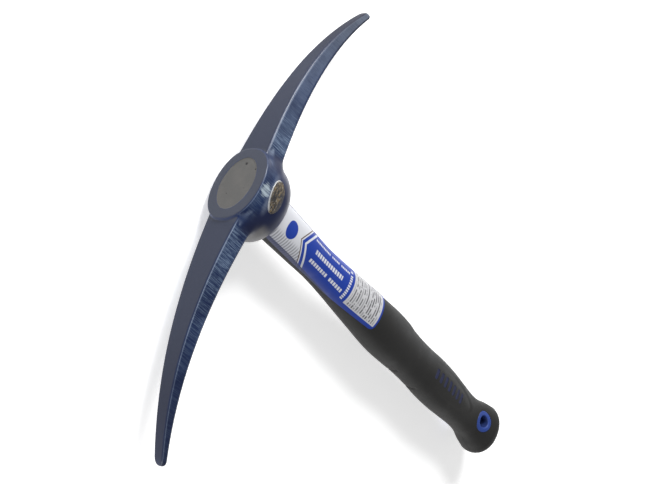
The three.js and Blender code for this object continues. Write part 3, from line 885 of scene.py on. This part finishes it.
def printed_film():
    """Gloss film: stripes, chevron, plain bars where the print runs, and small print."""
    film = Finish("printed_film", {"Roughness": 0.42, "Coat Weight": 0.05, "Specular IOR Level": 0.35})
    down, turn = film.stored("down"), film.stored("turn")

    def band(value, middle, half, soft):
        return 1 - film.fade(abs(value - middle), half - soft, half + soft)

    def cells(value, pitch):
        share = value / pitch
        return share.math("FLOOR"), share.math("FRACT")

    def chance(a, b):
        spot = film.node("ShaderNodeCombineXYZ", {}, {0: a, 1: b})
        return film.node("ShaderNodeTexWhiteNoise", {"noise_dimensions": "2D"}, {"Vector": spot})

    white, grey = (0.66, 0.67, 0.71, 1), (0.27, 0.28, 0.32, 1)
    blue, navy = (0.012, 0.046, 0.34, 1), (0.008, 0.015, 0.080, 1)
    brown = (0.10, 0.055, 0.035, 1)

    # white field with fine stripes next to the head
    stripe = band(cells(down, STRIPE_PITCH)[1], 0.5, 0.22, 0.10) * film.fade(turn, 22, 40)
    colour = film.mix(stripe * 0.9, white, grey)

    # a plain blue disc in the middle of the white field
    off_x, off_y = (turn - 8) / DISC_HALF_TURN, (down - DISC_MIDDLE) / DISC_RADIUS
    colour = film.mix(1 - film.fade(off_x * off_x + off_y * off_y, 0.92, 1.04), colour, blue)

    # chevron, its point toward the head, and the blue field behind it
    fold = down - abs(turn - 6) * FOLD_SLOPE - FOLD_AT
    for start, ink in ((0, brown), (0.8, white), (1.8, blue), (4.3, white)):
        colour = film.mix(film.fade(fold, start - 0.15, start + 0.15), colour, ink)
    field = film.fade(fold, 5.9, 6.1)
    colour = film.mix(field, colour, blue)

    # painted shade: a fine navy line across the white field on the far side, along the handle's outline
    edge = band(turn, -51.5, 3.4, 0.8) * (1 - field)
    colour = film.mix(edge, colour, navy)

    # rows of plain blocks where the wording runs
    for middle, half, start, end, pitch in PRINT_ROWS:
        index, share = cells(down - start, pitch)
        block = band(share, 0.5, 0.36, 0.06) * band(turn, middle, half, 0.8)
        kept = film.fade(chance(index, middle), 0.12, 0.16)
        colour = film.mix(block * kept * band(down, (start + end) / 2, (end - start) / 2, 0.1), colour, white)
    index, share = cells(turn, 6.5)
    block = band(share, 0.5, 0.34, 0.06) * band(down, 101.4, 1.1, 0.15) * band(turn, 2, 44, 1)
    colour = film.mix(block * film.fade(chance(index, 3), 0.15, 0.2), colour, white)

    # small print at the foot, in lines round the handle, some heavier than others
    foot_edge = turn + (down - 105) * 0.43
    small = band(down, FOOT_MIDDLE, 15.0, 0.2) * (1 - film.fade(foot_edge, 47.0, 48.0))
    colour = film.mix(small, colour, (0.58, 0.58, 0.60, 1))
    index, share = cells(down, LINE_PITCH)
    spot = film.node("ShaderNodeCombineXYZ", {}, {0: turn * 0.10, 1: index * 7.3})
    words = film.fade(film.node("ShaderNodeTexNoise", {"noise_dimensions": "2D"}, {
        "Vector": spot, "Scale": 1.0, "Detail": 3.0,
    }), 0.34, 0.50)
    line = band(share, 0.5, 0.27, 0.08) * words * band(down, FOOT_MIDDLE, 13.6, 0.3)
    line = line * (1 - film.fade(foot_edge, 43.5, 44.5)) * (chance(index, 5) * 0.55 + 0.40)
    colour = film.mix(small * line, colour, (0.05, 0.05, 0.06, 1))

    # dark strip down the left edge, beside the head and the blue field
    strip = film.fade(turn - film.fade(down, 50, 80) * 10, 60.0, 61.0) * (1 - film.fade(down, 94, 101))
    colour = film.mix(strip * 0.9, colour, navy)
    # painted shade: the film darkens toward its left edge, on the right-hand flank, away from the key lamp
    colour = film.mix(film.fade(turn, 40, 78) * 0.55, colour, navy)

    fade = film.noise(90, 3.0)
    colour = film.mix(film.fade(fade, 0.5, 0.9) * 0.12, colour, (0.45, 0.46, 0.48, 1))
    film.give("Base Color", colour)
    film.bump(film.noise(900, 2.0), 0.00002, 0.5)
    return film


label = new_piece("neck_label", *label_sheet())
spot, _ = tool_points(label)
half = half_width(spot[:, 1]) + (LABEL_INSIDE + LABEL_OUTSIDE) / 2
shares = spot[:, 0] / half, spot[:, 2] / (half - half_width(spot[:, 1]) * (1 - FLATNESS))
round_turn = [np.sign(share) * np.abs(share) ** (HANDLE_POWER / 2) for share in shares]
mark(label, "turn", np.degrees(np.arctan2(*round_turn)))
mark(label, "down", spot[:, 1])
smooth(label, 40)
printed_film().cover(label)
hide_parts("product_label")
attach(label, "root")

# ---- Dam ----------------------------------------------------------------------------------
# A ring of dark mastic pressed round the shaft at the foot of the eye, to stop the resin
# running out while it sets. It can't be seen once the handle is in.


def mastic():
    """Dull putty with thumbed lumps."""
    putty = Finish("dam_mastic", {})
    lumps = putty.noise(500, 4.0, 0.6)
    putty.give("Base Color", putty.mix(lumps, (0.030, 0.030, 0.028, 1), (0.060, 0.058, 0.054, 1)))
    putty.give("Roughness", lumps * 0.2 + 0.75)
    putty.bump(lumps, 0.0003)
    return putty


mastic().cover(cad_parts["resin_dam"])

# ---- Eye resin ----------------------------------------------------------------------------
# Grey filled epoxy poured into the eye from above. It sets nearly flush, with a thin
# meniscus up the steel and a few pits where bubbles broke.

MENISCUS = 0.25
PITS = ((-11.9, 0.2, 0.75), (-8.7, 8.0, 0.5), (6.4, -3.8, 0.3), (2.6, 6.1, 0.25))


def resin_top():
    """Poured surface as rings from the rim inwards, then the tapered side below it."""
    rings = []
    for y in (24.0, 12.0, 2.0):
        rings.append(eye_ring(y, 0.05, 160))
    for share in np.concatenate([[1.0, 0.985, 0.965, 0.94], np.linspace(0.9, 0.03, 46)]):
        ring = eye_ring(0, 0.05, 160) * (share, 1, share)
        climb = MENISCUS * np.exp(-(1 - share) / 0.02)
        dip = sum(
            0.5 * size * np.exp(-(((ring[:, 0] - x) ** 2 + (ring[:, 2] - z) ** 2) / size**2))
            for x, z, size in PITS
        )
        ring[:, 1] = 0.30 - climb + dip
        rings.append(ring)
    return rings


def epoxy():
    """Grey filled epoxy, speckled with filler, with painted shade in the pits."""
    cast = Finish("grey_epoxy", {"Specular IOR Level": 0.3})
    speck, cloud = cast.noise(2400, 4.0, 0.7), cast.noise(160, 3.0)
    grey = cast.mix(speck, (0.062, 0.061, 0.060, 1), (0.108, 0.106, 0.103, 1))
    grey = cast.mix(cast.fade(cloud, 0.4, 0.8) * 0.5, grey, (0.116, 0.111, 0.105, 1))
    grey = cast.mix(cast.fade(cast.stored("pit"), 0.15, 0.6), grey, (0.020, 0.020, 0.022, 1))
    cast.give("Base Color", grey)
    cast.give("Roughness", speck * 0.2 + 0.6)
    cast.bump(speck + cloud * 0.3, 0.00006)
    return cast


resin = new_piece("poured_resin", *skin(resin_top()))
smooth(resin, 50)
spot, _ = tool_points(resin)
# painted shade in the bubble pits
pit = sum(np.exp(-(((spot[:, 0] - x) ** 2 + (spot[:, 2] - z) ** 2) / size**2)) for x, z, size in PITS)
mark(resin, "pit", np.where(spot[:, 1] < 2, pit, 0))
epoxy().cover(resin)
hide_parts("eye_resin")
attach(resin, "root")

# ---- Floor, lamps and camera --------------------------------------------------------------
# The tool lies on its side on a plain pale floor, under large soft lamps, and the camera
# looks along the head's upper side, turned so that the handle runs down the picture.

FLOOR_HALF = 12.0
WALL_TOP, CEILING_FROM = 0.2, 0.62
WALL_GLOW, CEILING_GLOW = 0.66, 0.15
CAMERA_AIM = Vector((-0.0132, -0.0778, 0.018))
CAMERA_DISTANCE = 0.6366
CAMERA_AZIMUTH, CAMERA_ELEVATION, CAMERA_ROLL = 28.58, 38.25, 95.0
CAMERA_LENS = 64.19

corners = ((-1, -1), (1, -1), (1, 1), (-1, 1))
floor_mesh = bpy.data.meshes.new("floor")
floor_mesh.from_pydata([(FLOOR_HALF * x, FLOOR_HALF * y, 0) for x, y in corners], [], [(0, 1, 2, 3)])
floor = bpy.data.objects.new("floor", floor_mesh)
bpy.context.scene.collection.objects.link(floor)
paper = Finish("floor_paper", {"Roughness": 0.9, "Specular IOR Level": 0.1, "Emission Strength": 0.56})
shade = paper.mix(paper.noise(40, 2.0), (0.90, 0.90, 0.90, 1), (0.93, 0.93, 0.93, 1))
paper.give("Base Color", shade)
paper.give("Emission Color", shade)
paper.cover(floor)

# white walls up to shoulder height, a darker ceiling
world = bpy.data.worlds.new("studio")
world.use_nodes = True
room = Painter(world.node_tree)
height = room.node("ShaderNodeSeparateXYZ", {}, {
    0: room.node("ShaderNodeTexCoord", {}, {}, output="Generated"),
}, output="Z")
glow = room.fade(height, WALL_TOP, CEILING_FROM, WALL_GLOW, CEILING_GLOW)
world.node_tree.links.new(glow.socket, world.node_tree.nodes["Background"].inputs["Strength"])
world.node_tree.nodes["Background"].inputs["Color"].default_value = (1.0, 1.0, 1.0, 1)
bpy.context.scene.world = world
bpy.context.scene.view_settings.view_transform = "Standard"


def lamp(name, place, size, power):
    """A soft square lamp aimed at the tool, in metres and watts."""
    light = bpy.data.lights.new(name, "AREA")
    light.shape, light.size, light.energy = "SQUARE", size, power
    made = bpy.data.objects.new(name, light)
    bpy.context.scene.collection.objects.link(made)
    made.location = place
    made.rotation_euler = (-Vector(place)).to_track_quat("-Z", "Y").to_euler()


lamp("key", (-1.3, -0.9, 1.1), 0.8, 44)
lamp("fill", (1.2, -0.2, 0.35), 0.5, 5)

azimuth, elevation = math.radians(CAMERA_AZIMUTH), math.radians(CAMERA_ELEVATION)
back = Vector((
    math.sin(azimuth) * math.cos(elevation),
    -math.cos(azimuth) * math.cos(elevation),
    math.sin(elevation),
))
camera = bpy.data.objects.new("camera", bpy.data.cameras.new("camera"))
bpy.context.scene.collection.objects.link(camera)
camera.data.lens = CAMERA_LENS
camera.data.clip_start = 0.01
turned = (-back).to_track_quat("-Z", "Y").to_matrix().to_4x4()
roll = Matrix.Rotation(math.radians(CAMERA_ROLL), 4, "Z")
camera.matrix_world = Matrix.Translation(CAMERA_AIM + back * CAMERA_DISTANCE) @ turned @ roll
bpy.context.scene.camera = camera
